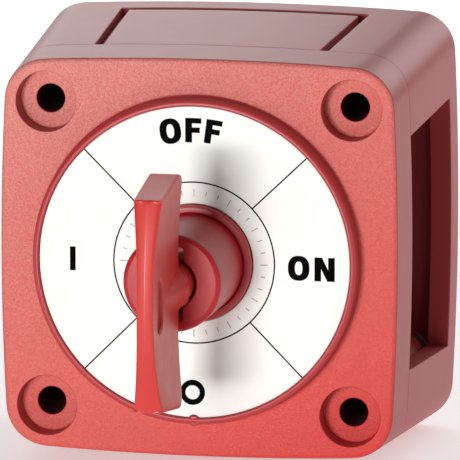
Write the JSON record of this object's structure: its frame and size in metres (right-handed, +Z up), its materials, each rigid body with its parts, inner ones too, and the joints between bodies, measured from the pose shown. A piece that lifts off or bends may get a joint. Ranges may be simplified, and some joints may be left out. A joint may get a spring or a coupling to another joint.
{
  "type": "battery switch",
  "caption": "Square surface-mount battery switch with a printed dial, a turning key socket, a removable key handle and side cable windows.",
  "frame": {"origin": "centre of the rear mounting plane, on the rear cover", "axes": "+Y is the rear mounting face's outward normal, so the dial faces -Y; +Z is up, towards the OFF mark; +X is to the right, towards the ON mark"},
  "size_m": [0.0698, 0.089, 0.0698],
  "materials": {
    "case_red": "moulded, fine pebble texture on the face, smoother on the sides",
    "hub_red": "smooth satin moulding",
    "key_red": "smooth satin moulding",
    "label_white": "printed satin film",
    "insulator_black": "moulded glass-filled insulator",
    "rubber_black": "matt nitrile",
    "nylon_natural": "natural nylon",
    "tin_plated_copper": "tin-plated stud brass",
    "copper": "plain contact copper",
    "stainless": "bright stainless steel"
  },
  "bodies": {
    "housing": {"front_case": "case_red", "rear_frame": "case_red", "rear_cover": "case_red", "side_plate_top": "case_red", "side_plate_bottom": "case_red", "label_disc": "label_white", "base_block": "insulator_black", "base_seal": "rubber_black", "base_screw_1": "stainless", "base_screw_2": "stainless", "base_screw_3": "stainless", "base_screw_4": "stainless", "contact_stud_left": "tin_plated_copper", "contact_stud_right": "tin_plated_copper", "stud_jam_nut_left": "tin_plated_copper", "stud_jam_nut_right": "tin_plated_copper", "flat_washer_left": "stainless", "flat_washer_right": "stainless", "lock_washer_left": "stainless", "lock_washer_right": "stainless", "stud_nut_left": "stainless", "stud_nut_right": "stainless"},
    "rotor": {"key_socket": "hub_red", "shaft_o_ring": "rubber_black", "thrust_washer": "nylon_natural", "contact_carrier": "insulator_black", "carrier_screw": "stainless", "bridge_contact": "copper", "contact_spring": "stainless", "detent_spring_a": "stainless", "detent_spring_b": "stainless"},
    "detent_a": {"detent_plunger_a": "stainless"},
    "detent_b": {"detent_plunger_b": "stainless"},
    "key": {"key": "key_red"}
  },
  "joints": [
    {"name": "rotor_turn", "type": "hinge", "parent": "housing", "child": "rotor", "pos_m": [0, -0.045, 0], "axis": [0, 1, 0], "range_deg": [0, 90]},
    {"name": "key_withdraw", "type": "slide", "parent": "rotor", "child": "key", "axis": [0, -1, 0], "range_m": [0, 0.018]},
    {"name": "detent_a_slide", "type": "slide", "parent": "rotor", "child": "detent_a", "axis": [0.7071, 0, 0.7071], "range_m": [0, 0.0006], "stiffness_N_per_m": 600, "springref_m": 0.004},
    {"name": "detent_b_slide", "type": "slide", "parent": "rotor", "child": "detent_b", "axis": [-0.7071, 0, -0.7071], "range_m": [0, 0.0006], "stiffness_N_per_m": 600, "springref_m": 0.004}
  ]
}
